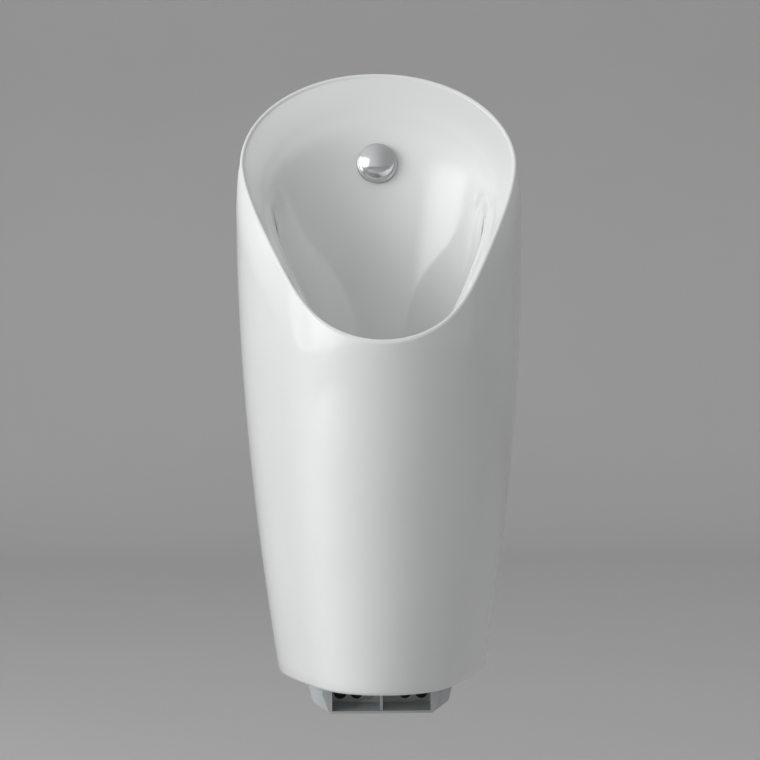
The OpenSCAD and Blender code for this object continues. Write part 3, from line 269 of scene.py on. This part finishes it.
def bowl_pt(a, v, keys=BOWL_KEYS):
    back, back_h, front, front_h, width, widest, egg = bowl_key_at(v, keys)
    b, side = folded(a)
    power = lerp(2, RIM_POWER, egg)
    if b < 90:
        x = width * share_pow(sin(b), 2 / power)
        forward = widest * (1 - share_pow(cos(b), 2 / power))
    else:
        x = width * sin(b) * (1 - egg * egg_dip(b))
        forward = widest - (1 - widest) * cos(b)
    return at(side * x, lerp(back, front, forward), lerp(back_h, front_h, forward))


def bowl_normal(a, v):
    along = bowl_pt(a, min(v + NORMAL_LEVEL_STEP, LAST_KEY)) - bowl_pt(a, v - NORMAL_LEVEL_STEP)
    around = bowl_pt((a + NORMAL_ANGLE_STEP) % 360, v) - bowl_pt((a - NORMAL_ANGLE_STEP) % 360, v)
    return along.cross(around).normalized()


def under_top(a):
    """The ring level at which the underside leaves the bowl and turns down the inside of the outer wall."""
    return LAST_KEY * (UNDER_FIRST_SHARE + UNDER_SPAN_SHARE * share_pow((1 - cos(a)) / 2, UNDER_POWER))


def under_pt(a, v):
    return bowl_pt(a, v) - WALL_T * bowl_normal(a, v)


def drain_pt(a, h):
    return at(DRAIN_R * sin(a), DRAIN_D - DRAIN_R * cos(a), h)


def shell_column(a):
    """The shell's section at angle a: up the outside, over the rim, down the bowl, through the drain, up
    under the bowl, down the inside of the outer wall and round its foot.
    """
    low, top, under_end = FOOT_EDGE_R, rim_top(a), under_top(a)
    inner_top = under_pt(a, under_end)[2] + HANG_H
    bevel = FOOT_EDGE_R * FOOT_EDGE_SHARE
    foot = [(WALL_T - bevel, bevel), (WALL_T - FOOT_EDGE_R, 0), (FOOT_EDGE_R, 0), (bevel, bevel)]
    points = [wall_pt(a, lerp(low, top, 1 - (1 - t) ** WALL_POWER), 0) for t in shares(WALL_RINGS)[:-1]]
    points += [roll_pt(a, t) for t in shares(ROLL_RINGS)[:-1]]
    points += [bowl_pt(a, LAST_KEY * t ** BOWL_POWER, GLAZE_KEYS) for t in shares(BOWL_RINGS)]
    points += [drain_pt(a, h) for h in (DRAIN_H, DRAIN_H - WALL_T)]
    points += [under_pt(a, lerp(LAST_KEY, under_end, t)) for t in shares(UNDER_RINGS)]
    points += [wall_pt(a, lerp(inner_top, low, t), WALL_T) for t in shares(INNER_RINGS)]
    points += [outer_pt(a, h, inset) for inset, h in foot]
    return [p * MM for p in points]


# Mesh helpers

def add_object(name, points, faces):
    mesh = bpy.data.meshes.new(name)
    mesh.from_pydata(points, [], faces)
    obj = bpy.data.objects.new(name, mesh)
    bpy.context.scene.collection.objects.link(obj)
    return obj


def add_prism(name, near_points, far_points):
    """A closed solid between two outlines with as many points each."""
    n = len(near_points)
    sides = [(i, (i + 1) % n, n + (i + 1) % n, n + i) for i in range(n)]
    ends = [tuple(range(n))[::-1], tuple(range(n, 2 * n))]
    return add_object(name, near_points + far_points, sides + ends)


def wall_prism(name, outline, near, far):
    """An outline in x and h, made solid from depth near to depth far."""
    ends = [[at(x, d, h) * MM for x, h in outline] for d in (near, far)]
    return add_prism(name, *ends)


def spray_cylinder(name, near, far, r):
    """A cylinder on the spray head's axis, which starts at its seat in the bowl's back wall."""
    seat = Matrix.Translation(at(0, BACK_WALL_D - SEAT_RECESS, SPRAY_H) * MM)
    tilt = Euler((math.radians(90 - SPRAY_TILT), 0, 0)).to_matrix().to_4x4()
    angles = [360 * i / CYLINDER_SIDES for i in range(CYLINDER_SIDES)]
    ends = [[seat @ tilt @ (Vector((r * cos(a), r * sin(a), z)) * MM) for a in angles] for z in (near, far)]
    return add_prism(name, *ends)


def rounded(outline, r):
    """The outline with its corners rounded."""
    result = []
    for i, corner in enumerate(outline):
        here = Vector(corner)
        a = (Vector(outline[i - 1]) - here).normalized()
        b = (Vector(outline[(i + 1) % len(outline)]) - here).normalized()
        half = a.angle(b) / 2
        centre = here + (a + b).normalized() * r / math.sin(half)
        start, end = here + a * r / math.tan(half) - centre, here + b * r / math.tan(half) - centre
        turn = start.angle_signed(end)
        for k in range(CORNER_STEPS + 1):
            result.append(tuple(centre + Matrix.Rotation(-turn * k / CORNER_STEPS, 2) @ start))
    return result


def outward(obj):
    """Turns the normals of obj outward and returns it."""
    work = bmesh.new()
    work.from_mesh(obj.data)
    bmesh.ops.recalc_face_normals(work, faces=work.faces)
    work.to_mesh(obj.data)
    work.free()
    return obj


def cut(obj, cutters):
    """Takes the cutters out of obj for good, and deletes them."""
    for cutter in cutters:
        outward(cutter)
        modifier = obj.modifiers.new("cut", "BOOLEAN")
        modifier.operation, modifier.solver, modifier.object = "DIFFERENCE", "EXACT", cutter
    result = bpy.data.meshes.new_from_object(obj.evaluated_get(bpy.context.evaluated_depsgraph_get()))
    obj.modifiers.clear()
    obj.data = result
    for cutter in cutters:
        bpy.data.objects.remove(cutter)


# Materials

class Shader:
    """A principled material with helpers for the nodes that vary it."""

    def __init__(self, name, colour, roughness, **sockets):
        self.material = bpy.data.materials.new(name)
        self.material.use_nodes = True
        self.tree = self.material.node_tree
        self.base = self.tree.nodes["Principled BSDF"]
        self.base.inputs["Base Color"].default_value = (*colour, 1)
        self.base.inputs["Roughness"].default_value = roughness
        for key, value in sockets.items():
            self.base.inputs[key.replace("_", " ")].default_value = value
        self.colour, self.roughness = colour, roughness
        self.place = self.tree.nodes.new("ShaderNodeTexCoord").outputs["Object"]

    def stretched(self, scale):
        mapping = self.tree.nodes.new("ShaderNodeMapping")
        mapping.inputs["Scale"].default_value = scale
        self.tree.links.new(self.place, mapping.inputs["Vector"])
        return mapping.outputs["Vector"]

    def noise(self, scale, detail, stretch=None):
        node = self.tree.nodes.new("ShaderNodeTexNoise")
        node.inputs["Scale"].default_value = scale
        node.inputs["Detail"].default_value = detail
        self.tree.links.new(self.stretched(stretch) if stretch else self.place, node.inputs["Vector"])
        return node.outputs["Fac"]

    def vary_colour(self, value, darker, low=0.35, high=0.65):
        """The colour times darker where the value is low, up to the colour itself where it is high."""
        node = self.tree.nodes.new("ShaderNodeValToRGB")
        first, last = node.color_ramp.elements
        first.position, last.position = low, high
        first.color, last.color = (*[c * darker for c in self.colour], 1), (*self.colour, 1)
        self.tree.links.new(value, node.inputs["Fac"])
        self.tree.links.new(node.outputs["Color"], self.base.inputs["Base Color"])

    def vary_roughness(self, value, spread, low=0.3, high=0.7):
        node = self.tree.nodes.new("ShaderNodeMapRange")
        node.inputs["From Min"].default_value, node.inputs["From Max"].default_value = low, high
        node.inputs["To Min"].default_value = max(self.roughness - spread, 0.02)
        node.inputs["To Max"].default_value = self.roughness + spread
        self.tree.links.new(value, node.inputs["Value"])
        self.tree.links.new(node.outputs["Result"], self.base.inputs["Roughness"])

    def bump(self, value, strength, distance=0.1 * MM):
        node = self.tree.nodes.new("ShaderNodeBump")
        node.inputs["Strength"].default_value, node.inputs["Distance"].default_value = strength, distance
        self.tree.links.new(value, node.inputs["Height"])
        self.tree.links.new(node.outputs["Normal"], self.base.inputs["Normal"])


def glaze():
    """White sanitary glaze: clear gloss over a faintly uneven white body."""
    shader = Shader("glaze", (0.80, 0.81, 0.81), 0.12, Coat_Weight=1.0, Coat_Roughness=0.03)
    shader.vary_colour(shader.noise(scale=9, detail=2), darker=0.975)
    shader.vary_roughness(shader.noise(scale=30, detail=2), spread=0.02)
    shader.bump(shader.noise(scale=22, detail=1), strength=0.08, distance=0.6 * MM)
    return shader.material


def metal(name, colour, roughness, grain=(1, 1, 1), scale=400, spread=0.06, bump=0.1):
    shader = Shader(name, colour, roughness, Metallic=1.0)
    shader.vary_roughness(shader.noise(scale, detail=3, stretch=grain), spread)
    shader.vary_colour(shader.noise(scale * 0.1, detail=3), darker=0.9)
    shader.bump(shader.noise(scale, detail=2, stretch=grain), bump)
    return shader.material


def plastic(name, colour, roughness, bump=0.25, darker=0.94):
    shader = Shader(name, colour, roughness)
    shader.vary_colour(shader.noise(scale=40, detail=4), darker)
    shader.vary_roughness(shader.noise(scale=90, detail=3), spread=0.05)
    shader.bump(shader.noise(scale=1500, detail=2), bump)
    return shader.material


def galvanised():
    """Zinc coat: flat spangles of slightly different greys."""
    shader = Shader("galvanised", (0.60, 0.62, 0.64), 0.42, Metallic=1.0)
    spangles = shader.tree.nodes.new("ShaderNodeTexVoronoi")
    spangles.inputs["Scale"].default_value = 130
    shader.tree.links.new(shader.place, spangles.inputs["Vector"])
    shader.vary_colour(spangles.outputs["Color"], darker=0.72, low=0.2, high=0.8)
    shader.vary_roughness(spangles.outputs["Color"], spread=0.1, low=0.2, high=0.8)
    shader.bump(shader.noise(scale=300, detail=3), strength=0.12)
    return shader.material


def circuit():
    """Green lacquered board, paler where the tracks lie under the lacquer."""
    lacquer, lacquer_beside, over_tracks = (0.03, 0.20, 0.09), (0.035, 0.22, 0.10), (0.10, 0.32, 0.14)
    shader = Shader("board", lacquer, 0.3, Coat_Weight=0.4)
    tracks = shader.tree.nodes.new("ShaderNodeTexBrick")
    tracks.inputs["Scale"].default_value = 160
    tracks.inputs["Mortar Size"].default_value = 0.03
    for key, colour in (("Color1", lacquer), ("Color2", lacquer_beside), ("Mortar", over_tracks)):
        tracks.inputs[key].default_value = (*colour, 1)
    shader.tree.links.new(shader.stretched((1, 0, 1)), tracks.inputs["Vector"])
    shader.tree.links.new(tracks.outputs["Color"], shader.base.inputs["Base Color"])
    shader.bump(tracks.outputs["Fac"], strength=0.2)
    return shader.material


MATERIALS = {
    "glazed_ceramic": glaze(),
    "chrome": metal("chrome", (0.80, 0.81, 0.82), 0.12, scale=60, spread=0.015, bump=0.01),
    "strainer_steel": metal("strainer_steel", (0.62, 0.62, 0.61), 0.3, grain=(8, 8, 1)),
    "bracket_plastic": plastic("bracket_plastic", (0.47, 0.50, 0.51), 0.45),
    "galvanised_steel": galvanised(),
    "white_plastic": plastic("white_plastic", (0.78, 0.78, 0.76), 0.32, bump=0.12),
    "insert_plastic": plastic("insert_plastic", (0.35, 0.50, 0.68), 0.28, bump=0.1),
    "black_rubber": plastic("black_rubber", (0.022, 0.022, 0.024), 0.62, bump=0.4, darker=0.7),
    "steel_pipe": metal("steel_pipe", (0.62, 0.62, 0.61), 0.25, grain=(1, 1, 0.05)),
    "brass": metal("brass", (0.62, 0.44, 0.20), 0.32, scale=900, bump=0.35),
    "steel": metal("steel", (0.56, 0.57, 0.58), 0.3),
    "coil_plastic": plastic("coil_plastic", (0.05, 0.05, 0.055), 0.5),
    "case_plastic": plastic("case_plastic", (0.09, 0.095, 0.10), 0.55, bump=0.5),
    "board": circuit(),
    "cells": plastic("cells", (0.42, 0.26, 0.07), 0.35, bump=0.05),
}


def finish_surface(obj, slot, sharp_angle):
    obj.data.materials.clear()
    obj.data.materials.append(MATERIALS[slot])
    obj.data.shade_smooth()
    obj.data.set_sharp_from_angle(angle=math.radians(sharp_angle))


for node_name, node in NODES.items():
    finish_surface(node, SLOT_OF[node_name], CAD_SHARP)

# The glazed shell

def shell_cutters():
    cutters = [wall_prism("service_cut", rounded(OPENING, OPENING_R), -OVERRUN, WALL_T + OVERRUN)]
    for middle in (-HANGER_SPAN / 2, HANGER_SPAN / 2):
        left, right = middle - HANGER_W / 2 - WINDOW_SIDE, middle + HANGER_W / 2 + WINDOW_SIDE
        window = [(left, WINDOW_LOW), (right, WINDOW_LOW), (right, WINDOW_TOP), (left, WINDOW_TOP)]
        cutters.append(wall_prism("window_cut", window, -OVERRUN, WALL_T + OVERRUN))
    return cutters + [
        spray_cylinder("seat_cut", 0, BACK_WALL_D, RING_R + SEAT_PLAY),
        spray_cylinder("shank_cut", -SPRAY_WALL_T - OVERRUN, OVERRUN, SHANK_R + SHANK_PLAY),
        spray_cylinder("nut_cut", -SPRAY_WALL_T - NUT_R, -SPRAY_WALL_T, NUT_R + NUT_PLAY),
    ]


def make_shell():
    grid = [shell_column(360 * c / COLUMNS) for c in range(COLUMNS)]
    rings = len(grid[0])

    def corner(column, ring):
        return column % COLUMNS * rings + ring % rings

    faces = [(corner(c, r), corner(c + 1, r), corner(c + 1, r + 1), corner(c, r + 1))
             for c in range(COLUMNS) for r in range(rings)]
    shell = outward(add_object("glazed_shell", [p for column in grid for p in column], faces))
    cut(shell, shell_cutters())
    finish_surface(shell, "glazed_ceramic", SHELL_SHARP)
    return shell


shell = make_shell()
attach(shell, "root")
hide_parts("ceramic_body")

# The valve spring, in metres


def make_spring():
    """Stands for plunger_spring."""
    mesh = NODES["plunger_spring"].data
    points = [tuple(v.co) for v in mesh.vertices]
    spring = add_object("valve_spring", points, [tuple(f.vertices) for f in mesh.polygons])
    finish_surface(spring, SLOT_OF["plunger_spring"], SPRING_SHARP)
    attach(spring, "root")
    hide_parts("plunger_spring")
    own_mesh(spring)


make_spring()

# The tray's sloping floor

def make_ramp(name, side):
    """One wedge on the tray's floor, between the centre rib and the side wall."""
    section = [(TRAY_BACK, TRAY_FLOOR_H), (TRAY_BACK, TRAY_FLOOR_H + RAMP_H), (TRAY_FRONT, TRAY_FLOOR_H)]
    ends = [[at(side * x, d, h) * MM for d, h in section] for x in (RIB_HALF_T, TRAY_HALF_W)]
    ramp = outward(add_prism(name, *ends))
    ramp.data.materials.append(MATERIALS[SLOT_OF["lower_bracket"]])
    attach(ramp, "root")


make_ramp("tray_ramp_left", -1)
make_ramp("tray_ramp_right", 1)

# Floor and backdrop in one sweep, in metres and degrees

FLOOR_Z, SWEEP_R, SWEEP_BACK, SWEEP_FRONT, SWEEP_HALF_W, SWEEP_TOP = -0.77, 1.4, 5, -12, 12, 6
SWEEP_STEP = 3


def pale_floor():
    shader = Shader("pale_floor", (0.55, 0.55, 0.55), 0.8)
    shader.vary_colour(shader.noise(scale=2, detail=2), darker=0.985)
    return shader.material


def make_sweep():
    profile = [(SWEEP_FRONT, FLOOR_Z)]
    for a in range(0, 90 + SWEEP_STEP, SWEEP_STEP):
        profile.append((SWEEP_BACK - SWEEP_R + SWEEP_R * sin(a), FLOOR_Z + SWEEP_R - SWEEP_R * cos(a)))
    profile.append((SWEEP_BACK, SWEEP_TOP))
    points = [(x, y, z) for y, z in profile for x in (-SWEEP_HALF_W, SWEEP_HALF_W)]
    faces = [(2 * i, 2 * i + 1, 2 * i + 3, 2 * i + 2) for i in range(len(profile) - 1)]
    sweep = add_object("floor_sweep", points, faces)
    sweep.data.shade_smooth()
    sweep.data.materials.append(pale_floor())


make_sweep()

# Light

def facing(place, target, axis):
    """The turn that points this axis of an object at place towards the target."""
    return (Vector(target) - Vector(place)).to_track_quat(axis, "Y").to_euler()


def area_light(name, place, target, width, height, power):
    light = bpy.data.lights.new(name, "AREA")
    light.shape, light.size, light.size_y, light.energy = "RECTANGLE", width, height, power
    obj = bpy.data.objects.new(name, light)
    bpy.context.scene.collection.objects.link(obj)
    obj.location = place
    obj.rotation_euler = facing(place, target, "-Z")
    obj.visible_glossy = False


def eased(tree, value, low, high, at_low, at_high):
    """A smooth step of a value, as a node's output."""
    node = tree.nodes.new("ShaderNodeMapRange")
    node.interpolation_type = "SMOOTHSTEP"
    for key, number in (("From Min", low), ("From Max", high), ("To Min", at_low), ("To Max", at_high)):
        node.inputs[key].default_value = number
    tree.links.new(value, node.inputs["Value"])
    return node.outputs["Result"]


def product(tree, first, second):
    node = tree.nodes.new("ShaderNodeMath")
    node.operation = "MULTIPLY"
    tree.links.new(first, node.inputs[0])
    tree.links.new(second, node.inputs[1])
    return node.outputs["Value"]


def split_axes(tree, socket):
    coordinates = tree.nodes.new("ShaderNodeTexCoord")
    split = tree.nodes.new("ShaderNodeSeparateXYZ")
    tree.links.new(coordinates.outputs[socket], split.inputs["Vector"])
    return split.outputs


def edge_fade(tree, axis, half, peak):
    """Falls from the peak in the pane's middle to nothing at both its edges on this axis."""
    across = split_axes(tree, "Object")[axis]
    return eased(tree, product(tree, across, across), low=0, high=half ** 2, at_low=peak, at_high=0)


def window_light(half_w, half_h, strength):
    material = bpy.data.materials.new("window_light")
    material.use_nodes = True
    tree = material.node_tree
    tree.nodes.clear()
    glow = tree.nodes.new("ShaderNodeEmission")
    power = product(tree, edge_fade(tree, "X", half_w, strength), edge_fade(tree, "Y", half_h, 1))
    tree.links.new(power, glow.inputs["Strength"])
    clear = tree.nodes.new("ShaderNodeBsdfTransparent")
    both = tree.nodes.new("ShaderNodeAddShader")
    tree.links.new(glow.outputs["Emission"], both.inputs[0])
    tree.links.new(clear.outputs["BSDF"], both.inputs[1])
    output = tree.nodes.new("ShaderNodeOutputMaterial")
    tree.links.new(both.outputs["Shader"], output.inputs["Surface"])
    return material


def soft_window(place, target, half_w, half_h, strength):
    """A large soft light whose edges fade out, so that glaze and chrome show no hard outline of it."""
    points = [(-half_w, -half_h, 0), (half_w, -half_h, 0), (half_w, half_h, 0), (-half_w, half_h, 0)]
    pane = add_object("soft_window", points, [(0, 1, 2, 3)])
    pane.location = place
    pane.rotation_euler = facing(place, target, "Z")
    pane.visible_camera = False
    pane.data.materials.append(window_light(half_w, half_h, strength))


def light_room():
    """White light from all round, strong from the left and weak from the right."""
    world = bpy.data.worlds.new("soft_world")
    bpy.context.scene.world = world
    world.use_nodes = True
    tree = world.node_tree
    background = tree.nodes["Background"]
    across = split_axes(tree, "Generated")["X"]
    strength = eased(tree, across, low=-0.8, high=0.75, at_low=0.72, at_high=0.34)
    tree.links.new(strength, background.inputs["Strength"])
    background.inputs["Color"].default_value = (1, 1, 1, 1)


area_light("key_left", place=(-2.7, -1.25, 0.55), target=(0, -0.15, -0.1), width=1.6, height=2.4, power=36)
area_light("top_soft", place=(0.2, -1.2, 2.6), target=(0, -0.1, 0), width=2.2, height=1.8, power=7)
soft_window(place=(-2.7, -1.4, 0.85), target=(0, -0.15, 0.2), half_w=1.7, half_h=1.35, strength=1.6)
light_room()

# The camera that was fitted to the photograph. Its place is in metres and its turns are in degrees

CAMERA_PLACE = (-0.0598, -3.0, -0.0584)
CAMERA_PITCH, CAMERA_YAW, CAMERA_ROLL = -2.143, 1.188, -0.486
FOCAL_PX, FRAME_PX, SENSOR_MM = 2543, 760, 36


def make_camera():
    data = bpy.data.cameras.new("camera")
    data.sensor_width = SENSOR_MM
    data.lens = SENSOR_MM * FOCAL_PX / FRAME_PX
    camera = bpy.data.objects.new("camera", data)
    bpy.context.scene.collection.objects.link(camera)
    bpy.context.scene.camera = camera
    look = Euler((math.radians(90 + CAMERA_PITCH), 0, math.radians(-CAMERA_YAW)), "XYZ").to_matrix()
    camera.rotation_euler = (look @ Matrix.Rotation(math.radians(CAMERA_ROLL), 3, "Z")).to_euler()
    camera.location = CAMERA_PLACE


make_camera()
bpy.context.scene.view_settings.view_transform = "Standard"
